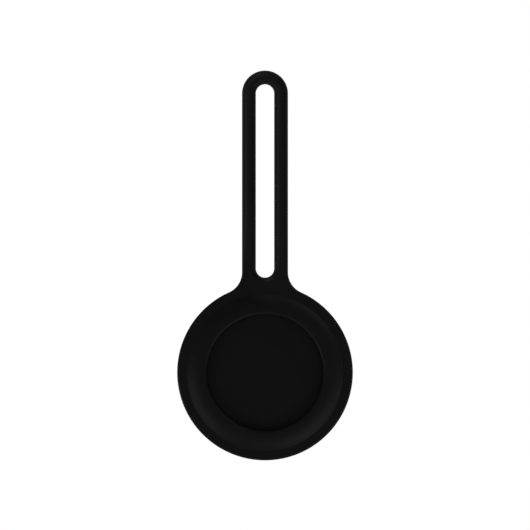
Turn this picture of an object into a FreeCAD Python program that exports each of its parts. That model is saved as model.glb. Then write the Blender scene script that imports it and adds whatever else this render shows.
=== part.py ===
"""Tracker tag holder: a silicone loop strap and pouch around a coin-shaped tracker tag.

Millimetres. +Z runs up the strap, the pouch's window faces -Y, and the origin is the inside top of
the strap's slot, where a ring or handle carries the holder.
"""
import FreeCAD, Part
import math
import os

import Sketcher

# Driving sizes of the silicone moulding.
STRAP_SIZES = [
    ("strap_width", 10.47),
    ("strand_width", 3.155),
    ("strap_thickness", 3.0),
    ("strap_edge_round", 1.4),
    ("slot_length", 43.96),
    ("slot_to_disc", 1.58),
    ("neck_round", 5.0),
    ("flex_length", 20.0),
]
POUCH_SIZES = [
    ("flange_width", 2.1),
    ("flange_edge_round", 0.5),
    ("pocket_wall", 1.8),
    ("bulge_rise", 1.3),
    ("lip_overhang", 2.8),
    ("lip_round", 0.75),
    ("crest_land", 0.15),
    ("lip_thickness", 1.8),
    ("back_wall", 1.2),
    ("back_round", 3.6),
    ("root_round", 0.6),
    ("pocket_clearance", 0.15),
    ("face_clearance", 0.2),
    ("floor_clearance", 0.1),
    ("lip_parting", 0.05),
]
# Driving sizes of the tag, from its coin cell outwards and from its face to its back.
CELL_SIZES = [
    ("cell_diameter", 20.0),
    ("cell_thickness", 3.2),
    ("cell_wall", 0.25),
    ("cell_edge_round", 0.25),
    ("cap_inset", 1.4),
    ("cap_proud", 0.25),
    ("cap_seat", 0.4),
    ("cell_seal_width", 0.4),
]
CASE_SIZES = [
    ("shell_wall", 1.0),
    ("shoulder_round", 2.4),
    ("rim_height", 2.5),
    ("rim_wall", 2.45),
    ("rim_round", 1.2),
    ("web_thickness", 0.8),
    ("spigot_wall", 0.95),
    ("press_clearance", 0.05),
    ("well_clearance", 0.25),
]
COVER_SIZES = [
    ("cover_thickness", 0.35),
    ("cover_edge_round", 0.25),
    ("cover_gap", 0.45),
    ("cover_proud", 0.1),
    ("cover_clearance", 0.15),
    ("ring_gap", 0.6),
    ("ring_width", 1.75),
    ("ring_height", 1.15),
    ("lug_reach", 0.95),
    ("lug_height", 0.5),
    ("lug_clearance", 0.1),
    ("groove_clearance", 0.2),
    ("lug_angle", 28.0),
    ("notch_angle", 34.0),
    ("cover_turn_angle", 35.0),
    ("cover_seal_thickness", 0.5),
    ("cover_seal_width", 1.0),
]
ELECTRONICS_SIZES = [
    ("chip_room", 1.4),
    ("board_thickness", 0.6),
    ("board_clearance", 0.2),
    ("antenna_width", 0.7),
    ("antenna_thickness", 0.1),
    ("antenna_angle", 344.0),
    ("contact_thickness", 0.2),
    ("contact_inset", 0.4),
    ("contact_ring_width", 1.9),
    ("finger_slit", 0.5),
    ("spring_thickness", 0.15),
    ("spring_stand", 1.8),
    ("spring_angle", 24.0),
    ("spring_foot", 1.0),
]
SPEAKER_SIZES = [
    ("magnet_diameter", 6.8),
    ("magnet_height", 1.5),
    ("coil_gap", 0.6),
    ("coil_width", 0.7),
    ("coil_height", 1.6),
    ("yoke_gap", 0.5),
    ("yoke_wall", 0.6),
    ("yoke_base", 0.4),
    ("yoke_flange", 0.8),
    ("yoke_flange_thickness", 0.4),
    ("yoke_clearance", 0.1),
]
# Chips, spaced evenly round the board: side along the radius, side across it, height.
CHIPS = [
    "radio_chip",
    "ranging_chip",
    "memory_chip",
    "crystal",
    "power_coil",
    "motion_sensor",
    "speaker_driver",
    "reservoir_capacitor",
]
CHIP_SIZES = [
    ("radio_chip_long", 4.0),
    ("radio_chip_wide", 4.0),
    ("radio_chip_tall", 0.9),
    ("ranging_chip_long", 3.4),
    ("ranging_chip_wide", 4.2),
    ("ranging_chip_tall", 0.9),
    ("memory_chip_long", 2.6),
    ("memory_chip_wide", 3.0),
    ("memory_chip_tall", 0.7),
    ("crystal_long", 1.6),
    ("crystal_wide", 2.0),
    ("crystal_tall", 0.6),
    ("power_coil_long", 2.0),
    ("power_coil_wide", 2.5),
    ("power_coil_tall", 1.0),
    ("motion_sensor_long", 2.0),
    ("motion_sensor_wide", 2.0),
    ("motion_sensor_tall", 0.8),
    ("speaker_driver_long", 2.2),
    ("speaker_driver_wide", 2.2),
    ("speaker_driver_tall", 0.6),
    ("reservoir_capacitor_long", 1.6),
    ("reservoir_capacitor_wide", 3.2),
    ("reservoir_capacitor_tall", 1.0),
]
# Sizes that follow from the driving ones.
DERIVED = [
    ("slot_width", "strap_width - 2 * strand_width"),
    ("cell_radius", "cell_diameter / 2"),
    ("cap_radius", "cell_radius - cap_inset"),
    ("core_radius", "cell_radius - cell_wall"),
    ("cell_seal_radius", "cap_radius + cell_seal_width"),
    ("well_radius", "cell_radius + well_clearance"),
    ("ring_inner", "cell_radius + ring_gap"),
    ("ring_outer", "ring_inner + ring_width"),
    ("cover_bore", "ring_outer + press_clearance"),
    ("cover_radius", "cover_bore + cover_thickness"),
    ("recess_radius", "cover_radius + cover_clearance"),
    ("lug_radius", "ring_outer + lug_reach"),
    ("groove_radius", "lug_radius + groove_clearance"),
    ("tag_radius", "groove_radius + rim_wall"),
    ("shell_bore", "tag_radius - shell_wall"),
    ("spigot_radius", "shell_bore - press_clearance"),
    ("board_bay", "spigot_radius - spigot_wall"),
    ("board_radius", "board_bay - board_clearance"),
    ("antenna_inner", "board_bay + (spigot_wall - antenna_width) / 2"),
    ("magnet_radius", "magnet_diameter / 2"),
    ("coil_inner", "magnet_radius + coil_gap"),
    ("coil_outer", "coil_inner + coil_width"),
    ("yoke_inner", "coil_outer + yoke_gap"),
    ("yoke_radius", "yoke_inner + yoke_wall"),
    ("yoke_flange_radius", "yoke_radius + yoke_flange"),
    ("web_hole", "yoke_radius + yoke_clearance"),
    ("board_hole", "yoke_flange_radius + board_clearance"),
    ("contact_outer", "cap_radius - contact_inset"),
    ("contact_inner", "contact_outer - contact_ring_width"),
    ("spring_outer", "well_radius - press_clearance"),
    ("board_front", "shell_wall + chip_room"),
    ("web_front", "board_front + board_thickness"),
    ("web_back", "web_front + web_thickness"),
    ("cell_front", "web_back + contact_thickness"),
    ("can_front", "cell_front + cap_proud"),
    ("cap_back", "can_front + cap_seat"),
    ("cell_back", "cell_front + cell_thickness"),
    ("core_back", "cell_back - cell_wall"),
    ("cover_front", "cell_back + cover_gap"),
    ("tag_thickness", "cover_front + cover_thickness"),
    ("rim_back", "tag_thickness - cover_proud"),
    ("parting_depth", "rim_back - rim_height"),
    ("ring_front", "cover_front - ring_height"),
    ("step_depth", "ring_front - cover_seal_thickness"),
    ("groove_front", "ring_front - lug_clearance"),
    ("groove_back", "ring_front + lug_height + lug_clearance"),
    ("cover_seal_inner", "ring_inner + (ring_width - cover_seal_width) / 2"),
    ("yoke_floor", "web_back - yoke_base"),
    ("magnet_front", "yoke_floor - magnet_height"),
    ("pocket_radius", "tag_radius + pocket_clearance"),
    ("bulge_radius", "pocket_radius + pocket_wall"),
    ("disc_radius", "bulge_radius + flange_width"),
    ("flange_bore", "pocket_radius + pocket_wall / 2"),
    ("window_radius", "tag_radius - lip_overhang"),
    ("crest_radius", "window_radius + lip_round + crest_land"),
    ("bulge_run", "bulge_radius - crest_radius"),
    ("bulge_curve", "(bulge_run * bulge_run + bulge_rise * bulge_rise) / (2 * bulge_rise)"),
    ("lip_depth", "lip_thickness + shoulder_round"),
    ("pocket_floor", "lip_thickness + face_clearance + tag_thickness + floor_clearance"),
    ("pouch_depth", "pocket_floor + back_wall"),
    ("crest_offset", "strap_thickness / 2 + bulge_rise"),
    ("tag_offset", "lip_thickness + face_clearance - crest_offset"),
    ("slot_end_height", "disc_radius + slot_to_disc + slot_width / 2"),
    ("eye_height", "disc_radius + slot_to_disc + slot_length"),
    ("arch_height", "eye_height - slot_width / 2"),
    ("flex_top", "slot_end_height + flex_length"),
    ("overrun", "strap_thickness"),
]

doc = FreeCAD.newDocument("tag_holder")
sheet = doc.addObject("Spreadsheet::Sheet", "sizes")
driving = STRAP_SIZES + POUCH_SIZES + CELL_SIZES + CASE_SIZES + COVER_SIZES
driving += ELECTRONICS_SIZES + SPEAKER_SIZES + CHIP_SIZES
cells = [(alias, str(number)) for alias, number in driving]
cells += [(alias, "=" + formula) for alias, formula in DERIVED]
for row, (alias, content) in enumerate(cells, start=1):
    sheet.set(f"A{row}", alias)
    sheet.set(f"B{row}", content)
    sheet.setAlias(f"B{row}", alias)
doc.recompute()

# Tag pieces are drawn with their depth along local Z, from the tag's face: local Z is turned to +Y.
FACE_FRONT = FreeCAD.Rotation(FreeCAD.Vector(1, 0, 0), -90)
# Ids that a sketch gives to its axes and to the spots of an edge.
H_AXIS, V_AXIS = range(-1, -3, -1)
START, END, CENTRE = range(1, 4)
ROOT_POINT = (H_AXIS, START)


def size(formula):
    """The number that a formula of the sheet's aliases gives."""
    return float(sheet.evalExpression(formula))


def bind(target, **formulas):
    """Tie properties of an object to formulas of the sheet."""
    for name, formula in formulas.items():
        target.setExpression(name.replace("__", "."), formula)


def new_body(name):
    body = doc.addObject("PartDesign::Body", name)
    body.Label = name
    return body


def new_sketch(body, name, plane):
    sketch = body.newObject("Sketcher::SketchObject", name)
    origin_plane = [f for f in body.Origin.OriginFeatures if f.Role == plane][0]
    sketch.AttachmentSupport = (origin_plane, [""])
    sketch.MapMode = "FlatFace"
    return sketch


def measure(sketch, kind, *rest, formula):
    """Add a dimension to a sketch and tie it to a formula."""
    index = sketch.addConstraint(Sketcher.Constraint(kind, *rest, size(formula)))
    sketch.setExpression(f"Constraints[{index}]", formula)


def arc_between(start, end, radius, turn):
    """The lesser arc from start to end, turning left (1) or right (-1)."""
    chord = end - start
    side = FreeCAD.Vector(-chord.y, chord.x, 0).normalize() * turn
    reach = math.sqrt(max(radius ** 2 - (chord.Length / 2) ** 2, 0))
    centre = start + chord / 2 + side * reach
    circle = Part.Circle(centre, FreeCAD.Vector(0, 0, 1), radius)
    from_point, to_point = (start, end) if turn > 0 else (end, start)
    angles = [math.atan2(p.y - centre.y, p.x - centre.x) for p in (from_point, to_point)]
    return Part.ArcOfCircle(circle, *angles)


def draw_outline(sketch, corners):
    """Draw a closed outline.

    A corner is (x, y) where a straight edge ends, or (x, y, radius, turn) where an arc ends.
    """
    points = [FreeCAD.Vector(size(c[0]), size(c[1]), 0) for c in corners]
    ends = []
    for here, corner in enumerate(corners):
        start, end = points[here - 1], points[here]
        if len(corner) == 2:
            edge = sketch.addGeometry(Part.LineSegment(start, end))
            ends.append((edge, START, END))
        else:
            radius, turn = corner[2:]
            edge = sketch.addGeometry(arc_between(start, end, size(radius), turn))
            ends.append((edge, START, END) if turn > 0 else (edge, END, START))
    for here, corner in enumerate(corners):
        edge, _, last = ends[here]
        following, first, _ = ends[(here + 1) % len(ends)]
        sketch.addConstraint(Sketcher.Constraint("Coincident", edge, last, following, first))
        for kind, axis, formula in (("DistanceX", V_AXIS, corner[0]), ("DistanceY", H_AXIS, corner[1])):
            if formula == "0":
                sketch.addConstraint(Sketcher.Constraint("PointOnObject", edge, last, axis))
            else:
                measure(sketch, kind, *ROOT_POINT, edge, last, formula=formula)
        if len(corner) == 4:
            measure(sketch, "Radius", edge, formula=corner[2])


def revolve(name, corners, sweep=None):
    """A body turned about its local Z from a half section of (radius, depth) corners."""
    body = new_body(name)
    sketch = new_sketch(body, name + "_section", "XZ_Plane")
    draw_outline(sketch, corners)
    turned = body.newObject("PartDesign::Revolution", name + "_turned")
    turned.Profile = sketch
    turned.ReferenceAxis = (sketch, ["V_Axis"])
    if sweep:
        bind(turned, Angle=sweep)
    doc.recompute()
    return body


def ring(name, inner, outer, front, back, sweep=None):
    """A turned ring of rectangular section, or a disc where inner is 0."""
    return revolve(name, [(inner, front), (outer, front), (outer, back), (inner, back)], sweep)


def sector_sketch(body, name, inner, outer, angle, depth):
    """A ring sector from the X axis round to an angle, drawn at a depth."""
    sketch = new_sketch(body, name, "XY_Plane")
    bind(sketch, AttachmentOffset__Base__z=depth)
    cosine, sine = f"cos({angle} * 1 deg)", f"sin({angle} * 1 deg)"
    corners = [
        (inner, "0"),
        (outer, "0"),
        (f"{outer} * {cosine}", f"{outer} * {sine}", outer, 1),
        (f"{inner} * {cosine}", f"{inner} * {sine}"),
    ]
    draw_outline(sketch, corners)
    return sketch


def repeat_round(body, feature, sketch, count):
    pattern = body.newObject("PartDesign::PolarPattern", feature.Name + "_round")
    pattern.Originals = [feature]
    pattern.Axis = (sketch, ["N_Axis"])
    pattern.Angle = 360
    pattern.Occurrences = count
    body.Tip = pattern
    doc.recompute()


def seat_in_tag(piece, turn=0.0):
    """Place a piece drawn in the tag's own frame: face forwards, centred in the pouch."""
    spin = FreeCAD.Rotation(FreeCAD.Vector(0, 0, 1), turn)
    piece.Placement = FreeCAD.Placement(FreeCAD.Vector(), FACE_FRONT * spin)
    bind(piece, Placement__Base__y="sizes.tag_offset", Placement__Base__z="-sizes.eye_height")
    return piece


# The strap and flange: one flat plate, drawn from the pouch's centre.
def draw_plate_outline(sketch):
    half, bend = size("sizes.strap_width / 2"), size("sizes.neck_round")
    disc, arch = size("sizes.disc_radius"), size("sizes.arch_height")
    side = half + bend
    neck = math.sqrt((disc + bend) ** 2 - side ** 2)
    lean = math.atan2(neck, side)

    def point(x, y):
        return FreeCAD.Vector(x, y, 0)

    def arc(centre, radius, first, last):
        circle = Part.Circle(centre, FreeCAD.Vector(0, 0, 1), radius)
        return sketch.addGeometry(Part.ArcOfCircle(circle, first, last))

    top = arc(point(0, arch), half, 0, math.pi)
    left = sketch.addGeometry(Part.LineSegment(point(-half, arch), point(-half, neck)))
    left_neck = arc(point(-side, neck), bend, -lean, 0)
    round_edge = arc(point(0, 0), disc, math.pi - lean, 2 * math.pi + lean)
    right_neck = arc(point(side, neck), bend, math.pi, math.pi + lean)
    right = sketch.addGeometry(Part.LineSegment(point(half, neck), point(half, arch)))
    joins = [
        (top, END, left, START),
        (left, END, left_neck, END),
        (left_neck, START, round_edge, START),
        (round_edge, END, right_neck, END),
        (right_neck, START, right, START),
        (right, END, top, START),
    ]
    for join in joins:
        sketch.addConstraint(Sketcher.Constraint("Tangent", *join))
    for line in (left, right):
        sketch.addConstraint(Sketcher.Constraint("Vertical", line))
    sketch.addConstraint(Sketcher.Constraint("Coincident", round_edge, CENTRE, *ROOT_POINT))
    sketch.addConstraint(Sketcher.Constraint("PointOnObject", top, CENTRE, V_AXIS))
    measure(sketch, "DistanceY", *ROOT_POINT, top, CENTRE, formula="sizes.arch_height")
    measure(sketch, "Radius", top, formula="sizes.strap_width / 2")
    measure(sketch, "Radius", round_edge, formula="sizes.disc_radius")
    for bent in (left_neck, right_neck):
        measure(sketch, "Radius", bent, formula="sizes.neck_round")
    return top


def draw_slot(sketch, strap_top):
    half = size("sizes.slot_width / 2")
    arch, low = size("sizes.arch_height"), size("sizes.slot_end_height")
    normal = FreeCAD.Vector(0, 0, 1)

    def point(x, y):
        return FreeCAD.Vector(x, y, 0)

    upper = sketch.addGeometry(Part.ArcOfCircle(Part.Circle(point(0, arch), normal, half), 0, math.pi))
    left = sketch.addGeometry(Part.LineSegment(point(-half, arch), point(-half, low)))
    lower_circle = Part.Circle(point(0, low), normal, half)
    lower = sketch.addGeometry(Part.ArcOfCircle(lower_circle, math.pi, 2 * math.pi))
    right = sketch.addGeometry(Part.LineSegment(point(half, low), point(half, arch)))
    joins = [
        (upper, END, left, START),
        (left, END, lower, START),
        (lower, END, right, START),
        (right, END, upper, START),
    ]
    for join in joins:
        sketch.addConstraint(Sketcher.Constraint("Tangent", *join))
    sketch.addConstraint(Sketcher.Constraint("Vertical", left))
    sketch.addConstraint(Sketcher.Constraint("Coincident", upper, CENTRE, strap_top, CENTRE))
    sketch.addConstraint(Sketcher.Constraint("PointOnObject", lower, CENTRE, V_AXIS))
    measure(sketch, "DistanceY", *ROOT_POINT, lower, CENTRE, formula="sizes.slot_end_height")
    measure(sketch, "Radius", upper, formula="sizes.slot_width / 2")


def make_plate():
    plate = new_body("plate")
    outline = new_sketch(plate, "plate_outline", "XZ_Plane")
    strap_top = draw_plate_outline(outline)
    draw_slot(outline, strap_top)
    normal = FreeCAD.Vector(0, 0, 1)
    bore = outline.addGeometry(Part.Circle(FreeCAD.Vector(), normal, size("sizes.flange_bore")))
    outline.addConstraint(Sketcher.Constraint("Coincident", bore, CENTRE, *ROOT_POINT))
    measure(outline, "Radius", bore, formula="sizes.flange_bore")
    pad = plate.newObject("PartDesign::Pad", "plate_pad")
    pad.Profile = outline
    pad.SideType = "Symmetric"
    bind(pad, Length="sizes.strap_thickness")
    bind(plate, Placement__Base__z="-sizes.eye_height")
    doc.recompute()
    return plate


def flat_edges(shape):
    """The numbers and edges that lie in the front or back plane of the plate."""
    return [(i, e) for i, e in enumerate(shape.Edges, start=1) if e.BoundBox.YLength < e.Tolerance]


def round_plate(plate):
    """Round the plate's edges: nearly full on the strap and slot, slight on the flange.

    The neck's edges are left between the two, so the round swells smoothly along them.
    """
    flange, neck = size("sizes.disc_radius"), size("sizes.neck_round")
    bore = size("sizes.flange_bore")
    strap_round, flange_round = size("sizes.strap_edge_round"), size("sizes.flange_edge_round")
    rounds = []
    for number, edge in flat_edges(plate.Shape):
        radius = edge.Curve.Radius if isinstance(edge.Curve, Part.Circle) else 0
        if math.isclose(radius, flange):
            rounds.append((number, flange_round, flange_round))
        elif not math.isclose(radius, neck) and not math.isclose(radius, bore):
            rounds.append((number, strap_round, strap_round))
    rounded = doc.addObject("Part::Fillet", "rounded_plate")
    rounded.Base = plate
    rounded.Edges = rounds
    doc.recompute()
    return rounded


def make_cup():
    """The pouch's wall, lip and closed back, turned about the window's axis."""
    corners = [
        ("sizes.window_radius", "sizes.lip_round"),
        ("sizes.window_radius + sizes.lip_round", "0", "sizes.lip_round", -1),
        ("sizes.crest_radius", "0"),
        ("sizes.bulge_radius", "sizes.bulge_rise", "sizes.bulge_curve", 1),
        ("sizes.bulge_radius", "sizes.pouch_depth - sizes.back_round"),
        ("sizes.bulge_radius - sizes.back_round", "sizes.pouch_depth", "sizes.back_round", 1),
        ("0", "sizes.pouch_depth"),
        ("0", "sizes.pocket_floor"),
        ("sizes.pocket_radius - sizes.rim_round", "sizes.pocket_floor"),
        ("sizes.pocket_radius", "sizes.pocket_floor - sizes.rim_round", "sizes.rim_round", -1),
        ("sizes.pocket_radius", "sizes.lip_depth"),
        ("sizes.pocket_radius - sizes.shoulder_round", "sizes.lip_thickness", "sizes.shoulder_round", -1),
        ("sizes.window_radius", "sizes.lip_thickness"),
    ]
    cup = revolve("cup", corners)
    cup.Placement = FreeCAD.Placement(FreeCAD.Vector(), FACE_FRONT)
    bind(cup, Placement__Base__y="-sizes.crest_offset", Placement__Base__z="-sizes.eye_height")
    doc.recompute()
    return cup


def boolean(kind, name, base, tool):
    result = doc.addObject("Part::" + kind, name)
    result.Base = base
    result.Tool = tool
    result.Refine = True
    result.Label = name
    doc.recompute()
    return result


def strap_slice(name, low, high):
    """A block across the strap and pouch between two heights above the pouch's centre."""
    block = doc.addObject("Part::Box", name)
    bind(block, Length="2 * sizes.disc_radius + 2 * sizes.overrun")
    bind(block, Width="2 * sizes.pouch_depth + 2 * sizes.overrun")
    bind(block, Height=f"{high} - ({low})")
    bind(block, Placement__Base__x="-sizes.disc_radius - sizes.overrun")
    bind(block, Placement__Base__y="-sizes.pouch_depth - sizes.overrun")
    bind(block, Placement__Base__z=f"{low} - sizes.eye_height")
    doc.recompute()
    return block


def round_root(moulding):
    """Round the inner corner where the pouch's wall leaves the back of the flange."""
    back, wall = size("sizes.strap_thickness / 2"), size("sizes.bulge_radius")
    rounds = []
    for number, edge in enumerate(moulding.Shape.Edges, start=1):
        if isinstance(edge.Curve, Part.Circle) and math.isclose(edge.Curve.Radius, wall):
            if math.isclose(edge.Curve.Center.y, back):
                rounds.append((number, size("sizes.root_round"), size("sizes.root_round")))
    rounded = doc.addObject("Part::Fillet", "rooted_moulding")
    rounded.Base = moulding
    rounded.Edges = rounds
    doc.recompute()
    return rounded


def make_holder():
    """The one moulding, parted where it bends and where its lip stretches."""
    plate = round_plate(make_plate())
    moulding = round_root(boolean("Fuse", "moulding", plate, make_cup()))
    crown = strap_slice("crown_block", "sizes.flex_top", "sizes.eye_height + sizes.strap_width")
    strands = strap_slice("strand_block", "sizes.slot_end_height", "sizes.flex_top")
    lower = strap_slice("pouch_block", "-sizes.disc_radius - sizes.overrun", "sizes.slot_end_height")
    lip_plug = doc.addObject("Part::Cylinder", "lip_plug")
    lip_plug.Placement = FreeCAD.Placement(FreeCAD.Vector(), FACE_FRONT)
    bind(lip_plug, Radius="sizes.pocket_radius + sizes.lip_parting")
    bind(lip_plug, Height="sizes.lip_depth + sizes.overrun")
    bind(lip_plug, Placement__Base__y="-sizes.crest_offset - sizes.overrun")
    bind(lip_plug, Placement__Base__z="-sizes.eye_height")
    doc.recompute()
    pouch_with_lip = boolean("Common", "pouch_with_lip", moulding, lower)
    return [
        boolean("Common", "strap_loop", plate, crown),
        boolean("Common", "strap_strands", plate, strands),
        boolean("Cut", "pouch", pouch_with_lip, lip_plug),
        boolean("Common", "window_lip", moulding, lip_plug),
    ]


# The tag's casing.
def make_shell():
    corners = [
        ("0", "0"),
        ("sizes.tag_radius - sizes.shoulder_round", "0"),
        ("sizes.tag_radius", "sizes.shoulder_round", "sizes.shoulder_round", 1),
        ("sizes.tag_radius", "sizes.parting_depth"),
        ("sizes.shell_bore", "sizes.parting_depth"),
        ("sizes.shell_bore", "sizes.shoulder_round"),
        (
            "sizes.tag_radius - sizes.shoulder_round",
            "sizes.shell_wall",
            "sizes.shoulder_round - sizes.shell_wall",
            -1,
        ),
        ("0", "sizes.shell_wall"),
    ]
    return seat_in_tag(revolve("face_shell", corners))


def make_tray():
    """The inner tray: board bay in front, cell well and bayonet recess behind."""
    corners = [
        ("sizes.web_hole", "sizes.web_front"),
        ("sizes.board_bay", "sizes.web_front"),
        ("sizes.board_bay", "sizes.board_front"),
        ("sizes.spigot_radius", "sizes.board_front"),
        ("sizes.spigot_radius", "sizes.parting_depth"),
        ("sizes.tag_radius", "sizes.parting_depth"),
        ("sizes.tag_radius", "sizes.rim_back - sizes.rim_round"),
        ("sizes.tag_radius - sizes.rim_round", "sizes.rim_back", "sizes.rim_round", 1),
        ("sizes.recess_radius", "sizes.rim_back"),
        ("sizes.recess_radius", "sizes.groove_back"),
        ("sizes.groove_radius", "sizes.groove_back"),
        ("sizes.groove_radius", "sizes.groove_front"),
        ("sizes.recess_radius", "sizes.groove_front"),
        ("sizes.recess_radius", "sizes.step_depth"),
        ("sizes.well_radius", "sizes.step_depth"),
        ("sizes.well_radius", "sizes.web_back"),
        ("sizes.web_hole", "sizes.web_back"),
    ]
    tray = revolve("inner_tray", corners)
    whole = tray.Shape.Volume
    notch = sector_sketch(
        tray, "lug_notch", "sizes.ring_outer", "sizes.groove_radius", "sizes.notch_angle", "sizes.rim_back"
    )
    cut = tray.newObject("PartDesign::Pocket", "lug_entry")
    cut.Profile = notch
    bind(cut, Length="sizes.rim_back - sizes.groove_back + sizes.lug_clearance")
    doc.recompute()
    repeat_round(tray, cut, notch, 3)
    if tray.Shape.Volume >= whole:
        raise RuntimeError("the lug notches cut nothing from the tray")
    return seat_in_tag(tray)


def make_cover():
    """The steel battery cover and the bayonet ring bonded inside it."""
    corners = [
        ("0", "sizes.cover_front"),
        ("sizes.cover_bore", "sizes.cover_front"),
        ("sizes.cover_bore", "sizes.groove_back"),
        ("sizes.cover_radius", "sizes.groove_back"),
        ("sizes.cover_radius", "sizes.tag_thickness - sizes.cover_edge_round"),
        (
            "sizes.cover_radius - sizes.cover_edge_round",
            "sizes.tag_thickness",
            "sizes.cover_edge_round",
            1,
        ),
        ("0", "sizes.tag_thickness"),
    ]
    cover = seat_in_tag(revolve("battery_cover", corners))
    bayonet = ring(
        "bayonet_ring", "sizes.ring_inner", "sizes.ring_outer", "sizes.ring_front", "sizes.cover_front"
    )
    lug = sector_sketch(
        bayonet, "lug", "sizes.ring_inner", "sizes.lug_radius", "sizes.lug_angle", "sizes.ring_front"
    )
    pad = bayonet.newObject("PartDesign::Pad", "lug_pad")
    pad.Profile = lug
    bind(pad, Length="sizes.lug_height")
    doc.recompute()
    repeat_round(bayonet, pad, lug, 3)
    centred = size("(sizes.notch_angle - sizes.lug_angle) / 2 - sizes.cover_turn_angle")
    seat_in_tag(bayonet, centred)
    seal_outer = "sizes.cover_seal_inner + sizes.cover_seal_width"
    seal = ring("cover_seal", "sizes.cover_seal_inner", seal_outer, "sizes.step_depth", "sizes.ring_front")
    return [cover, bayonet, seat_in_tag(seal)]


def make_cell():
    """The coin cell: can, crimp seal, cap and the core between them."""
    can = [
        ("0", "sizes.core_back"),
        ("sizes.core_radius", "sizes.core_back"),
        ("sizes.core_radius", "sizes.cap_back"),
        ("sizes.cell_seal_radius", "sizes.cap_back"),
        ("sizes.cell_seal_radius", "sizes.can_front"),
        ("sizes.cell_radius - sizes.cell_edge_round", "sizes.can_front"),
        ("sizes.cell_radius", "sizes.can_front + sizes.cell_edge_round", "sizes.cell_edge_round", 1),
        ("sizes.cell_radius", "sizes.cell_back - sizes.cell_edge_round"),
        ("sizes.cell_radius - sizes.cell_edge_round", "sizes.cell_back", "sizes.cell_edge_round", 1),
        ("0", "sizes.cell_back"),
    ]
    cap = [
        ("0", "sizes.cell_front"),
        ("sizes.cap_radius - sizes.cap_proud", "sizes.cell_front"),
        ("sizes.cap_radius", "sizes.can_front", "sizes.cap_proud", 1),
        ("sizes.cap_radius", "sizes.cap_back"),
        ("0", "sizes.cap_back"),
    ]
    core = ring("cell_core", "0", "sizes.core_radius", "sizes.cap_back", "sizes.core_back")
    seal = ring("cell_seal", "sizes.cap_radius", "sizes.cell_seal_radius", "sizes.can_front", "sizes.cap_back")
    return [seat_in_tag(p) for p in (revolve("cell_can", can), revolve("cell_cap", cap), core, seal)]


def make_contacts():
    """The sprung ring under the cell's cap, and the two springs beside its can."""
    cap_contact = ring(
        "cap_contact", "sizes.contact_inner", "sizes.contact_outer", "sizes.web_back", "sizes.cell_front"
    )
    slit = new_sketch(cap_contact, "finger_slit", "XY_Plane")
    bind(slit, AttachmentOffset__Base__z="sizes.cell_front")
    middle = "sizes.contact_inner + sizes.contact_ring_width / 2"
    corners = [
        ("sizes.contact_inner - sizes.contact_inset", "0"),
        (middle, "0"),
        (middle, "sizes.finger_slit"),
        ("sizes.contact_inner - sizes.contact_inset", "sizes.finger_slit"),
    ]
    draw_outline(slit, corners)
    cut = cap_contact.newObject("PartDesign::Pocket", "finger_cut")
    cut.Profile = slit
    bind(cut, Length="sizes.contact_thickness")
    doc.recompute()
    repeat_round(cap_contact, cut, slit, 6)
    seat_in_tag(cap_contact)
    spring = [
        ("sizes.spring_outer - sizes.spring_foot", "sizes.web_back"),
        ("sizes.spring_outer", "sizes.web_back"),
        ("sizes.spring_outer", "sizes.web_back + sizes.spring_stand"),
        ("sizes.spring_outer - sizes.spring_thickness", "sizes.web_back + sizes.spring_stand"),
        ("sizes.spring_outer - sizes.spring_thickness", "sizes.web_back + sizes.spring_thickness"),
        ("sizes.spring_outer - sizes.spring_foot", "sizes.web_back + sizes.spring_thickness"),
    ]
    springs = []
    for side, turn in (("left", 180), ("right", 0)):
        springs.append(seat_in_tag(revolve("can_spring_" + side, spring, "sizes.spring_angle"), turn))
    return [cap_contact, group("can_contacts", springs)]


def group(name, members):
    """Several separate solids that share one name."""
    together = doc.addObject("Part::Compound", name)
    together.Links = members
    together.Label = name
    doc.recompute()
    return together


def make_board():
    board = ring("circuit_board", "sizes.board_hole", "sizes.board_radius", "sizes.board_front", "sizes.web_front")
    antenna = ring(
        "antenna_strip",
        "sizes.antenna_inner",
        "sizes.antenna_inner + sizes.antenna_width",
        "sizes.board_front - sizes.antenna_thickness",
        "sizes.board_front",
        "sizes.antenna_angle",
    )
    chips = []
    for place, name in enumerate(CHIPS):
        chip = doc.addObject("Part::Box", name)
        length, width, height = (f"sizes.{name}_{side}" for side in ("long", "wide", "tall"))
        bind(chip, Length=length, Width=width, Height=height)
        doc.recompute()
        middle = size("(sizes.board_hole + sizes.board_radius) / 2")
        on_board = FreeCAD.Vector(middle - size(length) / 2, -size(width) / 2, -size(height))
        turned = FreeCAD.Rotation(FreeCAD.Vector(0, 0, 1), 360 * place / len(CHIPS))
        local = FreeCAD.Placement(FreeCAD.Vector(0, 0, size("sizes.board_front")), turned)
        tag_place = FreeCAD.Vector(0, size("sizes.tag_offset"), -size("sizes.eye_height"))
        seat = FreeCAD.Placement(tag_place, FACE_FRONT)
        chip.Placement = seat * local * FreeCAD.Placement(on_board, FreeCAD.Rotation())
        chips.append(chip)
    return [seat_in_tag(board), seat_in_tag(antenna), group("board_chips", chips)]


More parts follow.
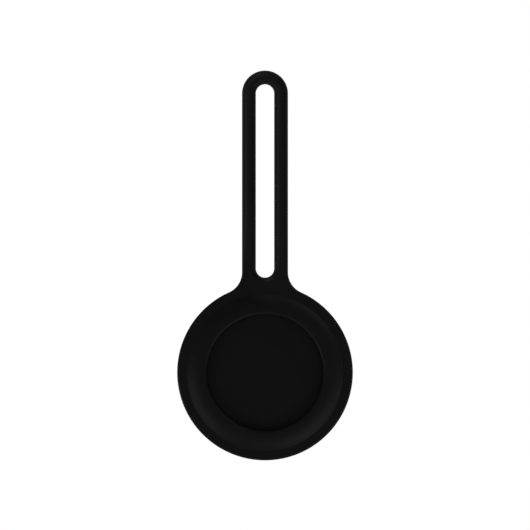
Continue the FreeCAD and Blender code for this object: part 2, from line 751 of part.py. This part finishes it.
def make_speaker():
    coil_back = "sizes.shell_wall + sizes.coil_height"
    coil = ring("voice_coil", "sizes.coil_inner", "sizes.coil_outer", "sizes.shell_wall", coil_back)
    magnet = ring("speaker_magnet", "0", "sizes.magnet_radius", "sizes.magnet_front", "sizes.yoke_floor")
    yoke_corners = [
        ("0", "sizes.yoke_floor"),
        ("sizes.yoke_inner", "sizes.yoke_floor"),
        ("sizes.yoke_inner", "sizes.magnet_front"),
        ("sizes.yoke_radius", "sizes.magnet_front"),
        ("sizes.yoke_radius", "sizes.web_front - sizes.yoke_flange_thickness"),
        ("sizes.yoke_flange_radius", "sizes.web_front - sizes.yoke_flange_thickness"),
        ("sizes.yoke_flange_radius", "sizes.web_front"),
        ("sizes.yoke_radius", "sizes.web_front"),
        ("sizes.yoke_radius", "sizes.web_back"),
        ("0", "sizes.web_back"),
    ]
    return [seat_in_tag(p) for p in (coil, magnet, revolve("speaker_yoke", yoke_corners))]


nodes = make_holder()
nodes += [make_shell(), make_tray()]
nodes += make_cover() + make_cell() + make_contacts() + make_board() + make_speaker()
doc.recompute()

failed = [o.Name for o in doc.Objects if "Invalid" in o.State or "Error" in o.State]
failed += [n.Label for n in nodes if n.Shape.isNull() or not n.Shape.isValid() or not n.Shape.Solids]
if failed:
    raise RuntimeError("failed objects: " + ", ".join(failed))

os.makedirs("parts", exist_ok=True)
for node in nodes:
    node.Shape.exportStep(f"parts/{node.Label}.step")
    print(f"{node.Label}: {len(node.Shape.Solids)} solids, {node.Shape.Volume:.2f} mm3")
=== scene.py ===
"""Looks of the tag holder: one black silicone moulding round a coin-shaped tag, hung over a white floor."""

import math

import bmesh
import bpy
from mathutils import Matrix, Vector


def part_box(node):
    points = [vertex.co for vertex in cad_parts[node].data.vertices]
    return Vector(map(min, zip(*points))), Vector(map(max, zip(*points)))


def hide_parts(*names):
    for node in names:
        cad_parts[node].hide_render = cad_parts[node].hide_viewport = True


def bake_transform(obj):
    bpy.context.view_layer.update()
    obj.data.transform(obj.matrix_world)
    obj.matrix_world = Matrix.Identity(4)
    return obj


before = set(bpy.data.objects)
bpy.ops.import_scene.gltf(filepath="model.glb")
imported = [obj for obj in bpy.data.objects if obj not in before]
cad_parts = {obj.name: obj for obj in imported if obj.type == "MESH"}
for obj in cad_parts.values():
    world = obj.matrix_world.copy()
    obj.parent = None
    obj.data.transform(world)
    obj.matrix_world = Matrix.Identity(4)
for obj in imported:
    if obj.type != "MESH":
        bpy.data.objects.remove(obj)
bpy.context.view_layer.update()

# Sizes of the moulding in metres
STRAND_WIDTH = 0.003155
SLOT_LENGTH = 0.04396
NECK_ROUND = 0.005
STRAP_ROUND = 0.0014
FLANGE_ROUND = 0.0005
TAPER_START = -0.029
TAPER_END = -0.045
POCKET_CLEARANCE = 0.00015
POCKET_WALL = 0.0018
POCKET_ROUND = 0.0012
FLOOR_CLEARANCE = 0.0001
LIP_OVERHANG = 0.0028
LIP_ROUND = 0.00075
LIP_BREAK = 0.00015
LIP_UNDERSIDE = -0.001
CREST_LAND = 0.00015
FOOT_INSET = 0.00015
FOOT_ROUND = 0.0004
SHOULDER_ROUND = 0.0024
BACK_ROUND = 0.0036
ROOT_ROUND = 0.0006

# The moulding's parting line round its rim
SEAM_WIDTH = 0.00014
SEAM_HEIGHT = 0.000012

# Fineness of the mesh
ROUND_STEPS = 10
FOOT_STEPS = 6
BULGE_STEPS = 20
LIP_STEPS = 14
LIP_WALL_STEPS = 3
BREAK_STEPS = 5
ROOT_STEPS = 6
BACK_STEPS = 18
WALL_STEPS = 4
FLOOR_STEPS = 6
ARCH_STEPS = 48
STRAND_STEPS = 64
NECK_STEPS = 20
FLANGE_STEPS = 240
CUP_STEPS = 288
RIM_LAND = 0.00004
MERGE_DISTANCE = 1e-7
SHARP_ANGLE = math.radians(30)

# Turns, directions, and the side of a guide line that the moulding lies on
QUARTER_TURN = 0.5 * math.pi
HALF_TURN = math.pi
FULL_TURN = 2 * math.pi
TOWARDS_VIEWER = (0.0, -1.0, 0.0)
AWAY = (0.0, 1.0, 0.0)
UP = (0.0, 0.0, 1.0)
INSIDE = 1
OUTSIDE = -1

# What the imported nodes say
strap_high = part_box("strap_loop")[1]
pouch_low, pouch_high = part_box("pouch")
tag_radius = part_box("face_shell")[1].x
strap_half = strap_high.x
strap_depth = strap_high.y
arch_z = strap_high.z - strap_half
flange_radius = pouch_high.x
window_z = pouch_low.z + flange_radius
window_centre = Vector((0.0, 0.0, window_z))
crest_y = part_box("window_lip")[0].y
back_y = pouch_high.y
tag_back_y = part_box("battery_cover")[1].y

# What follows from them: the slot's top is the frame's origin
slot_half = strap_half - STRAND_WIDTH
slot_end_z = slot_half - SLOT_LENGTH
neck_x = strap_half + NECK_ROUND
neck_z = window_z + math.sqrt((flange_radius + NECK_ROUND) ** 2 - neck_x**2)
neck_lean = math.atan2(neck_z - window_z, neck_x)
pocket_radius = tag_radius + POCKET_CLEARANCE
wall_radius = pocket_radius + POCKET_WALL
window_radius = tag_radius - LIP_OVERHANG
pocket_floor = tag_back_y + FLOOR_CLEARANCE


def run_point(bm, point, end, steps=1):
    """Draw a straight run from a point and give its last point."""
    stride = (Vector(end) - point.co) / steps
    for _ in range(steps):
        point = bmesh.ops.extrude_vert_indiv(bm, verts=[point])["verts"][0]
        point.co += stride
    return point


def turn_point(bm, point, centre, axis, angle, steps):
    """Draw an arc from a point about an axis and give its last point."""
    swept = bmesh.ops.spin(bm, geom=[point], cent=centre, axis=axis, angle=angle, steps=steps)
    return next(part for part in swept["geom_last"] if isinstance(part, bmesh.types.BMVert))


def in_order(first):
    """Give the points of a drawn line one after another."""
    line = [first]
    passed = {first}
    while True:
        onward = [edge.other_vert(line[-1]) for edge in line[-1].link_edges]
        onward = [point for point in onward if point not in passed]
        if not onward:
            return line
        line.append(onward[0])
        passed.add(onward[0])


def on_section(radius, depth):
    """Give a place on the pouch's half section."""
    return Vector((radius, depth, window_z))


def turn_section(bm, point, radius, depth, angle, steps=ROUND_STEPS):
    """Draw an arc of the pouch's half section about a centre in it."""
    return turn_point(bm, point, on_section(radius, depth), UP, angle, steps)


def draw_front_section(bm):
    """Draw the bulge, the lip, the window and the pocket from the crease to the middle of the floor."""
    lip_radius = window_radius + LIP_ROUND
    break_depth = LIP_UNDERSIDE - LIP_BREAK
    shoulder_radius = pocket_radius - SHOULDER_ROUND
    corner_depth = pocket_floor - POCKET_ROUND
    bulge_inner = lip_radius + CREST_LAND
    rise = -strap_depth - crest_y
    reach = wall_radius - FOOT_INSET - bulge_inner
    bulge_round = (reach**2 + rise**2) / (2 * rise)
    bulge_depth = crest_y + bulge_round
    foot_depth = -strap_depth - FOOT_ROUND
    foot_reach = math.sqrt((bulge_round + FOOT_ROUND) ** 2 - (bulge_depth - foot_depth) ** 2)
    bulge_angle = math.atan2(foot_reach, bulge_depth - foot_depth)
    first = bm.verts.new(on_section(bulge_inner + foot_reach, -strap_depth))
    point = turn_section(bm, first, bulge_inner + foot_reach, foot_depth, bulge_angle, FOOT_STEPS)
    point = turn_section(bm, point, bulge_inner, bulge_depth, -bulge_angle, BULGE_STEPS)
    point = run_point(bm, point, on_section(lip_radius, crest_y))
    point = turn_section(bm, point, lip_radius, crest_y + LIP_ROUND, -QUARTER_TURN, LIP_STEPS)
    point = run_point(bm, point, on_section(window_radius, break_depth), LIP_WALL_STEPS)
    point = turn_section(bm, point, window_radius + LIP_BREAK, break_depth, -QUARTER_TURN, BREAK_STEPS)
    point = run_point(bm, point, on_section(shoulder_radius, LIP_UNDERSIDE))
    point = turn_section(bm, point, shoulder_radius, LIP_UNDERSIDE + SHOULDER_ROUND, QUARTER_TURN)
    point = run_point(bm, point, on_section(pocket_radius, corner_depth), WALL_STEPS)
    point = turn_section(bm, point, pocket_radius - POCKET_ROUND, corner_depth, QUARTER_TURN)
    run_point(bm, point, on_section(0.0, pocket_floor), FLOOR_STEPS)
    return in_order(first)


def draw_back_section(bm):
    """Draw the outside of the cup from the root on the flange's back to the middle of the back."""
    root_radius = wall_radius + ROOT_ROUND
    corner_depth = back_y - BACK_ROUND
    first = bm.verts.new(on_section(root_radius, strap_depth))
    point = turn_section(bm, first, root_radius, strap_depth + ROOT_ROUND, -QUARTER_TURN, ROOT_STEPS)
    point = run_point(bm, point, on_section(wall_radius, corner_depth), WALL_STEPS)
    point = turn_section(bm, point, wall_radius - BACK_ROUND, corner_depth, QUARTER_TURN, BACK_STEPS)
    run_point(bm, point, on_section(0.0, back_y), FLOOR_STEPS)
    return in_order(first)


def spin_cup(bm):
    """Turn both sections round the window's axis, and give the open edges at the crease and at the root."""
    points = draw_front_section(bm) + draw_back_section(bm)
    edges = dict.fromkeys(edge for point in points for edge in point.link_edges)
    bmesh.ops.spin(
        bm,
        geom=points + list(edges),
        cent=window_centre,
        axis=AWAY,
        angle=FULL_TURN,
        steps=CUP_STEPS,
        use_merge=True,
    )
    bmesh.ops.remove_doubles(bm, verts=list(bm.verts), dist=MERGE_DISTANCE)
    open_edges = [edge for edge in bm.edges if edge.is_boundary]
    crease = [edge for edge in open_edges if edge.verts[0].co.y < 0]
    root = [edge for edge in open_edges if edge.verts[0].co.y > 0]
    return crease, root


def close_line(bm, first, last):
    """Join the ends of a drawn line and give its points anticlockwise as the viewer sees them."""
    bmesh.ops.pointmerge(bm, verts=[first, last], merge_co=first.co.copy())
    line = in_order(first if first.is_valid else last)
    turning = sum(a.co.x * b.co.z - b.co.x * a.co.z for a, b in zip(line, line[1:] + line[:1]))
    return line if turning > 0 else line[::-1]


def draw_outline(bm):
    """Draw the outline of strap, neck and flange."""
    around = HALF_TURN + 2 * neck_lean
    first = bm.verts.new((strap_half, 0.0, arch_z))
    point = turn_point(bm, first, (0.0, 0.0, arch_z), TOWARDS_VIEWER, HALF_TURN, ARCH_STEPS)
    point = run_point(bm, point, (-strap_half, 0.0, neck_z), STRAND_STEPS)
    point = turn_point(bm, point, (-neck_x, 0.0, neck_z), TOWARDS_VIEWER, -neck_lean, NECK_STEPS)
    point = turn_point(bm, point, window_centre, TOWARDS_VIEWER, around, FLANGE_STEPS)
    point = turn_point(bm, point, (neck_x, 0.0, neck_z), TOWARDS_VIEWER, -neck_lean, NECK_STEPS)
    last = run_point(bm, point, (strap_half, 0.0, arch_z), STRAND_STEPS)
    return close_line(bm, first, last)


def draw_slot(bm):
    """Draw the slot down the middle of the strap."""
    first = bm.verts.new((slot_half, 0.0, arch_z))
    point = turn_point(bm, first, (0.0, 0.0, arch_z), TOWARDS_VIEWER, HALF_TURN, ARCH_STEPS)
    point = run_point(bm, point, (-slot_half, 0.0, slot_end_z), STRAND_STEPS)
    point = turn_point(bm, point, (0.0, 0.0, slot_end_z), TOWARDS_VIEWER, HALF_TURN, ARCH_STEPS)
    last = run_point(bm, point, (slot_half, 0.0, arch_z), STRAND_STEPS)
    return close_line(bm, first, last)


def edge_round(place):
    """Give the rim's round at a place of the outline: it shrinks towards the neck."""
    share = min(max((TAPER_START - place.z) / (TAPER_START - TAPER_END), 0.0), 1.0)
    return STRAP_ROUND + (FLANGE_ROUND - STRAP_ROUND) * share


def rim_section(size):
    """Give a rounded rim's insets and depths from front to back. Its parting line reaches the outline."""
    front = [(SEAM_HEIGHT + size + RIM_LAND, -strap_depth)]
    for step in range(ROUND_STEPS + 1):
        turn = QUARTER_TURN * step / ROUND_STEPS
        inset = SEAM_HEIGHT + size * (1 - math.sin(turn))
        front.append((inset, size * (1 - math.cos(turn)) - strap_depth))
    seam = [(SEAM_HEIGHT, -0.5 * SEAM_WIDTH), (0.0, 0.0), (SEAM_HEIGHT, 0.5 * SEAM_WIDTH)]
    back = [(inset, -depth) for inset, depth in reversed(front)]
    return front + seam + back


def ring_edges(bm, ring):
    """Give the edges of a closed ring of points."""
    return [bm.edges.get(pair) for pair in zip(ring, ring[1:] + ring[:1])]


def grow_ring(bm, ring):
    """Extrude a closed ring of edges and give the new ring's points in the same order."""
    grown = bmesh.ops.extrude_edge_only(bm, edges=ring_edges(bm, ring))["geom"]
    fresh = {part for part in grown if isinstance(part, bmesh.types.BMVert)}
    rungs = [[edge.other_vert(point) for edge in point.link_edges] for point in ring]
    return [next(point for point in ends if point in fresh) for ends in rungs]


def skin_rim(bm, guide, side, rounds):
    """Skin the rounded rim along a closed guide line and give the edges of its front and back borders."""
    places = [point.co.copy() for point in guide]
    ahead = places[1:] + places[:1]
    behind = places[-1:] + places[:-1]
    runs = [(after - before).normalized() for after, before in zip(ahead, behind)]
    inwards = [side * Vector((-run.z, 0.0, run.x)) for run in runs]
    sections = [rim_section(size) for size in rounds]
    last_station = len(sections[0]) - 1
    ring = guide
    borders = []
    for station in range(last_station + 1):
        if station:
            ring = grow_ring(bm, ring)
        for point, place, inward, section in zip(ring, places, inwards, sections):
            inset, depth = section[station]
            point.co = place + inset * inward
            point.co.y = depth
        if station in (0, last_station):
            borders.append(ring_edges(bm, ring))
    return borders


def model_moulding():
    """Model strap, neck, flange, pouch and lip as the one moulding that they are."""
    bm = bmesh.new()
    outline = draw_outline(bm)
    slot = draw_slot(bm)
    crease, root = spin_cup(bm)
    outer_rounds = [edge_round(point.co) for point in outline]
    slot_rounds = [STRAP_ROUND] * len(slot)
    outer_front, outer_back = skin_rim(bm, outline, INSIDE, outer_rounds)
    slot_front, slot_back = skin_rim(bm, slot, OUTSIDE, slot_rounds)
    front_edges = outer_front + slot_front + crease
    back_edges = outer_back + slot_back + root
    bmesh.ops.triangle_fill(bm, use_beauty=True, edges=front_edges, normal=TOWARDS_VIEWER)
    bmesh.ops.triangle_fill(bm, use_beauty=True, edges=back_edges, normal=AWAY)
    bmesh.ops.recalc_face_normals(bm, faces=list(bm.faces))
    for face in bm.faces:
        face.smooth = True
    for edge in bm.edges:
        edge.smooth = edge.calc_face_angle(0.0) < SHARP_ANGLE
    return bm


def finish_piece(bm, name, material):
    """Turn a bmesh into an object of the scene."""
    mesh = bpy.data.meshes.new(name)
    bm.to_mesh(mesh)
    bm.free()
    mesh.materials.append(material)
    piece = bpy.data.objects.new(name, mesh)
    bpy.context.scene.collection.objects.link(piece)
    return piece


def new_group(name, inputs, outputs):
    """Start a shader node group with named sockets."""
    group = bpy.data.node_groups.new(name, "ShaderNodeTree")
    for label, kind, value in inputs:
        socket = group.interface.new_socket(label, in_out="INPUT", socket_type=kind)
        if value is not None:
            socket.default_value = value
    for label in outputs:
        group.interface.new_socket(label, in_out="OUTPUT", socket_type="NodeSocketFloat")
    entry = group.nodes.new("NodeGroupInput")
    leave = group.nodes.new("NodeGroupOutput")
    return group, entry, leave


def fine_noise(group, entry, size_label, detail, roughness):
    """Add noise whose grains have the size of one of the group's inputs."""
    scale = group.nodes.new("ShaderNodeMath")
    scale.operation = "DIVIDE"
    scale.inputs[0].default_value = 1.0
    noise = group.nodes.new("ShaderNodeTexNoise")
    noise.inputs["Detail"].default_value = detail
    noise.inputs["Roughness"].default_value = roughness
    group.links.new(entry.outputs[size_label], scale.inputs[1])
    group.links.new(entry.outputs["Place"], noise.inputs["Vector"])
    group.links.new(scale.outputs[0], noise.inputs["Scale"])
    return noise


def spread(group, value, low, high):
    """Stretch a narrow band of a value to the whole range from 0 to 1."""
    band = group.nodes.new("ShaderNodeMapRange")
    band.inputs["From Min"].default_value = low
    band.inputs["From Max"].default_value = high
    group.links.new(value, band.inputs["Value"])
    return band.outputs["Result"]


def make_moulded_grain():
    """Fine tool grain and slow mottling of a moulded surface."""
    sizes = [("Grain", "NodeSocketFloat", 0.0001), ("Mottle", "NodeSocketFloat", 0.004)]
    inputs = [("Place", "NodeSocketVector", None)] + sizes
    group, entry, leave = new_group("moulded_grain", inputs, ["Height", "Mottling"])
    grain = fine_noise(group, entry, "Grain", detail=3.0, roughness=0.6)
    mottle = fine_noise(group, entry, "Mottle", detail=5.0, roughness=0.65)
    mottling = spread(group, mottle.outputs["Fac"], low=0.35, high=0.65)
    group.links.new(grain.outputs["Fac"], leave.inputs["Height"])
    group.links.new(mottling, leave.inputs["Mottling"])
    return group


def make_turned_lines():
    """Fine rings round the tag's axis, as a lathe or a spinning brush leaves them."""
    inputs = [("Place", "NodeSocketVector", None), ("Pitch", "NodeSocketFloat", 0.0001)]
    group, entry, leave = new_group("turned_lines", inputs, ["Height", "Streaks"])
    centred = group.nodes.new("ShaderNodeMapping")
    centred.inputs["Location"].default_value = -window_centre
    centred.inputs["Scale"].default_value = (1.0, 0.0, 1.0)
    distance = group.nodes.new("ShaderNodeVectorMath")
    distance.operation = "LENGTH"
    count = group.nodes.new("ShaderNodeMath")
    count.operation = "DIVIDE"
    lines = group.nodes.new("ShaderNodeTexNoise")
    lines.noise_dimensions = "1D"
    lines.inputs["Scale"].default_value = 1.0
    lines.inputs["Detail"].default_value = 6.0
    lines.inputs["Roughness"].default_value = 0.7
    streaks = spread(group, lines.outputs["Fac"], low=0.3, high=0.7)
    group.links.new(entry.outputs["Place"], centred.inputs["Vector"])
    group.links.new(centred.outputs["Vector"], distance.inputs[0])
    group.links.new(distance.outputs["Value"], count.inputs[0])
    group.links.new(entry.outputs["Pitch"], count.inputs[1])
    group.links.new(count.outputs[0], lines.inputs["W"])
    group.links.new(lines.outputs["Fac"], leave.inputs["Height"])
    group.links.new(streaks, leave.inputs["Streaks"])
    return group


moulded_grain = make_moulded_grain()
turned_lines = make_turned_lines()


def start_material(name, group, **sizes):
    """Start a material with one of the groups laid on the piece's own place."""
    material = bpy.data.materials.new(name)
    material.use_nodes = True
    tree = material.node_tree
    place = tree.nodes.new("ShaderNodeTexCoord")
    effect = tree.nodes.new("ShaderNodeGroup")
    effect.node_tree = group
    for label, value in sizes.items():
        effect.inputs[label].default_value = value
    tree.links.new(place.outputs["Object"], effect.inputs["Place"])
    return material, tree, tree.nodes["Principled BSDF"], effect


def grey(level):
    """Give a neutral colour."""
    return (level, level, level)


def tint(tree, shader, mask, first, second):
    """Shift the base colour between two tones of the same stuff."""
    blend = tree.nodes.new("ShaderNodeMix")
    blend.data_type = "RGBA"
    blend.inputs["A"].default_value = (*first, 1.0)
    blend.inputs["B"].default_value = (*second, 1.0)
    tree.links.new(mask, blend.inputs["Factor"])
    tree.links.new(blend.outputs["Result"], shader.inputs["Base Color"])


def gloss(tree, shader, mask, low, high):
    """Let the roughness wander between two values."""
    band = tree.nodes.new("ShaderNodeMapRange")
    band.inputs["To Min"].default_value = low
    band.inputs["To Max"].default_value = high
    tree.links.new(mask, band.inputs["Value"])
    tree.links.new(band.outputs["Result"], shader.inputs["Roughness"])


def relief(tree, shader, height, depth):
    """Give the surface a fine relief."""
    bump = tree.nodes.new("ShaderNodeBump")
    bump.inputs["Strength"].default_value = 1.0
    bump.inputs["Distance"].default_value = depth
    tree.links.new(height, bump.inputs["Height"])
    tree.links.new(bump.outputs["Normal"], shader.inputs["Normal"])


def make_silicone():
    """Matt black silicone with the faint cloudiness of a moulded rubber skin."""
    sizes = {"Grain": 0.00012, "Mottle": 0.006}
    material, tree, shader, effect = start_material("black_silicone", moulded_grain, **sizes)
    tint(tree, shader, effect.outputs["Mottling"], first=grey(0.0011), second=grey(0.0014))
    gloss(tree, shader, effect.outputs["Mottling"], low=0.48, high=0.54)
    relief(tree, shader, effect.outputs["Height"], depth=0.000004)
    shader.inputs["Specular IOR Level"].default_value = 0.0455
    return material


def make_plastic(name, first, second, rough, wander=0.04, shine=0.5):
    """Moulded plastic with a spark-eroded texture."""
    material, tree, shader, effect = start_material(name, moulded_grain, Grain=0.00009, Mottle=0.004)
    tint(tree, shader, effect.outputs["Mottling"], first, second)
    gloss(tree, shader, effect.outputs["Mottling"], rough - wander, rough + wander)
    relief(tree, shader, effect.outputs["Height"], depth=0.000006)
    shader.inputs["Specular IOR Level"].default_value = shine
    return material


def make_metal(name, group, first, second, rough, wander=0.05, mask="Mottling", **sizes):
    """Metal with the marks of its last working step."""
    material, tree, shader, effect = start_material(name, group, **sizes)
    tint(tree, shader, effect.outputs[mask], first, second)
    gloss(tree, shader, effect.outputs[mask], rough - wander, rough + wander)
    relief(tree, shader, effect.outputs["Height"], depth=0.000002)
    shader.inputs["Metallic"].default_value = 1.0
    return material


def make_turned_steel(name, first, second, rough, pitch):
    """Steel with the fine rings that turning leaves."""
    return make_metal(name, turned_lines, first, second, rough, mask="Streaks", Pitch=pitch)


holder = finish_piece(model_moulding(), "holder_moulding", make_silicone())
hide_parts("strap_loop", "strap_strands", "pouch", "window_lip")
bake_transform(holder)

# The tag's nodes keep their shapes and get their own finishes
casing = make_plastic("black_casing", grey(0.00098), grey(0.00112), rough=0.52, wander=0.015, shine=0.043)
tray = make_plastic("white_plastic", (0.6, 0.6, 0.58), (0.66, 0.66, 0.64), rough=0.45)
spun_steel = make_turned_steel("spun_steel", grey(0.58), grey(0.66), rough=0.24, pitch=0.00006)
cell_steel = make_turned_steel("nickel_steel", grey(0.56), grey(0.62), rough=0.28, pitch=0.0001)
bronze = make_metal("spring_bronze", moulded_grain, (0.76, 0.6, 0.32), (0.7, 0.55, 0.3), rough=0.25)
copper = make_metal("bare_copper", moulded_grain, (0.8, 0.43, 0.27), (0.68, 0.34, 0.2), rough=0.3)
nickel = make_metal("bright_nickel", moulded_grain, grey(0.7), grey(0.76), rough=0.16)
zinc = make_metal("zinc_steel", moulded_grain, grey(0.46), grey(0.54), rough=0.36)
filling = make_plastic("electrode_pack", grey(0.08), grey(0.12), rough=0.8)
gasket = make_plastic("seal_rubber", grey(0.09), grey(0.11), rough=0.75)
laminate = make_plastic("green_laminate", (0.025, 0.13, 0.06), (0.035, 0.15, 0.08), rough=0.3)
resin = make_plastic("black_resin", grey(0.045), grey(0.055), rough=0.5)

FINISHES = {
    "face_shell": casing,
    "inner_tray": tray,
    "bayonet_ring": tray,
    "battery_cover": spun_steel,
    "cell_can": cell_steel,
    "cell_cap": cell_steel,
    "cell_core": filling,
    "cell_seal": gasket,
    "cover_seal": gasket,
    "cap_contact": bronze,
    "can_contacts": bronze,
    "antenna_strip": copper,
    "voice_coil": copper,
    "circuit_board": laminate,
    "board_chips": resin,
    "speaker_magnet": nickel,
    "speaker_yoke": zinc,
}
for node, finish in FINISHES.items():
    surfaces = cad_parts[node].data.materials
    surfaces.clear()
    surfaces.append(finish)

# The floor, the light and the camera
FLOOR_DROP = 0.6
FLOOR_RADIUS = 4.0
FLOOR_SEGMENTS = 96
FLOOR_WHITE = 0.9
ROOM_LIGHT = 0.11
ROOM_WHITE = 1.0
BOX_DISTANCE = 0.5
BOX_WIDTH = 0.32
SPOT_DISTANCE = 0.8
SPOT_WIDTH = 0.002
PICTURE_WIDTH = 0.1206
PICTURE_MIDDLE = Vector((0.0, 0.0, -0.0411))
CAMERA_DISTANCE = 1.2
CAMERA_REACH = 20.0
SENSOR_WIDTH = 36.0


def background_level(tree, dull, white):
    """Give the background's level: white to the camera and in shiny or clear surfaces, else dull."""
    path = tree.nodes.new("ShaderNodeLightPath")
    shown = path.outputs["Is Camera Ray"]
    for ray in ("Is Glossy Ray", "Is Transmission Ray"):
        either = tree.nodes.new("ShaderNodeMath")
        either.operation = "MAXIMUM"
        tree.links.new(shown, either.inputs[0])
        tree.links.new(path.outputs[ray], either.inputs[1])
        shown = either.outputs[0]
    level = tree.nodes.new("ShaderNodeMapRange")
    level.inputs["To Min"].default_value = dull
    level.inputs["To Max"].default_value = white
    tree.links.new(shown, level.inputs["Value"])
    return level.outputs["Result"]


def make_floor():
    """Lay a large plain white floor far below the hanging holder."""
    material, tree, shader, effect = start_material("white_floor", moulded_grain, Grain=0.002, Mottle=0.3)
    tint(tree, shader, effect.outputs["Mottling"], first=grey(0.88), second=grey(0.9))
    shader.inputs["Roughness"].default_value = 0.9
    shader.inputs["Specular IOR Level"].default_value = 0.0
    shader.inputs["Emission Color"].default_value = (1.0, 1.0, 1.0, 1.0)
    glow = background_level(tree, dull=0.0, white=FLOOR_WHITE)
    tree.links.new(glow, shader.inputs["Emission Strength"])
    bm = bmesh.new()
    bmesh.ops.create_circle(bm, cap_ends=True, segments=FLOOR_SEGMENTS, radius=FLOOR_RADIUS)
    bmesh.ops.translate(bm, verts=list(bm.verts), vec=(0.0, 0.0, pouch_low.z - FLOOR_DROP))
    finish_piece(bm, "floor", material)


def hang_lamp(lamp, target, azimuth, lean, distance):
    """Hang a lamp by its angles in degrees round and off the viewer's line to a target, and aim it."""
    turn = math.radians(azimuth)
    tilt = math.radians(lean)
    away = Vector((math.sin(tilt) * math.cos(turn), -math.cos(tilt), math.sin(tilt) * math.sin(turn)))
    stand = bpy.data.objects.new(lamp.name, lamp)
    stand.location = target + distance * away
    stand.rotation_euler = away.to_track_quat("Z", "Y").to_euler()
    bpy.context.scene.collection.objects.link(stand)


def add_softbox(name, azimuth, lean, light):
    """Add a square softbox that gives the pouch a stated light, 1 being a white card's full white."""
    lamp = bpy.data.lights.new(name, "AREA")
    lamp.shape = "SQUARE"
    lamp.size = BOX_WIDTH
    lamp.energy = light * math.pi**2 * BOX_DISTANCE**2
    hang_lamp(lamp, window_centre, azimuth, lean, BOX_DISTANCE)


def add_spot(name, aim, azimuth, lean, light, cone, soft):
    """Add a spot that gives one place a stated light in the same measure, within a cone in degrees."""
    lamp = bpy.data.lights.new(name, "SPOT")
    lamp.energy = light * 4 * math.pi**2 * SPOT_DISTANCE**2
    lamp.spot_size = math.radians(cone)
    lamp.spot_blend = soft
    lamp.shadow_soft_size = SPOT_WIDTH
    hang_lamp(lamp, Vector(aim), azimuth, lean, SPOT_DISTANCE)


def make_world():
    """Light the room softly, and show it white behind the holder."""
    world = bpy.data.worlds.new("studio")
    bpy.context.scene.world = world
    world.use_nodes = True
    tree = world.node_tree
    tree.nodes.clear()
    room = tree.nodes.new("ShaderNodeBackground")
    room.inputs["Color"].default_value = (1.0, 1.0, 1.0, 1.0)
    out = tree.nodes.new("ShaderNodeOutputWorld")
    tree.links.new(background_level(tree, dull=ROOM_LIGHT, white=ROOM_WHITE), room.inputs["Strength"])
    tree.links.new(room.outputs[0], out.inputs["Surface"])


def add_camera():
    """Set the camera straight in front, at the photograph's scale."""
    lens = bpy.data.cameras.new("camera")
    lens.sensor_width = SENSOR_WIDTH
    lens.lens = SENSOR_WIDTH * CAMERA_DISTANCE / PICTURE_WIDTH
    lens.clip_end = CAMERA_REACH
    camera = bpy.data.objects.new("camera", lens)
    camera.location = PICTURE_MIDDLE + CAMERA_DISTANCE * Vector(TOWARDS_VIEWER)
    camera.rotation_euler = (QUARTER_TURN, 0.0, 0.0)
    bpy.context.scene.collection.objects.link(camera)
    bpy.context.scene.camera = camera


make_floor()
add_softbox("softbox_right", azimuth=305, lean=58, light=0.7)
add_softbox("softbox_left", azimuth=208, lean=62, light=0.72)
add_softbox("softbox_high", azimuth=90, lean=25, light=0.03)
add_softbox("softbox_low", azimuth=270, lean=20, light=0.05)
add_spot("strap_spot", (0.0, 0.0, -0.02), azimuth=165, lean=40, light=0.4, cone=3.4, soft=0.6)
add_spot("arch_spot", (-0.0015, 0.0, 0.0), azimuth=105, lean=50, light=0.55, cone=0.95, soft=0.6)
add_spot("neck_spot", (0.0008, 0.0, -0.0415), azimuth=110, lean=60, light=0.6, cone=0.42, soft=0.6)
add_spot("shoulder_spot", (0.012, 0.0, -0.0535), azimuth=50, lean=75, light=0.33, cone=2.0, soft=0.5)
add_spot("side_spot", (0.0165, 0.0, -0.066), azimuth=345, lean=68, light=0.2, cone=2.2, soft=0.5)
add_spot("back_spot", (0.0, 0.0, -0.043), azimuth=90, lean=177, light=0.6, cone=9.0, soft=0.3)
add_spot("back_spot_right", window_centre, azimuth=345, lean=120, light=0.6, cone=3.6, soft=0.5)
add_spot("back_spot_left", window_centre, azimuth=195, lean=120, light=0.6, cone=3.6, soft=0.5)
make_world()
add_camera()
bpy.context.scene.view_settings.view_transform = "Standard"
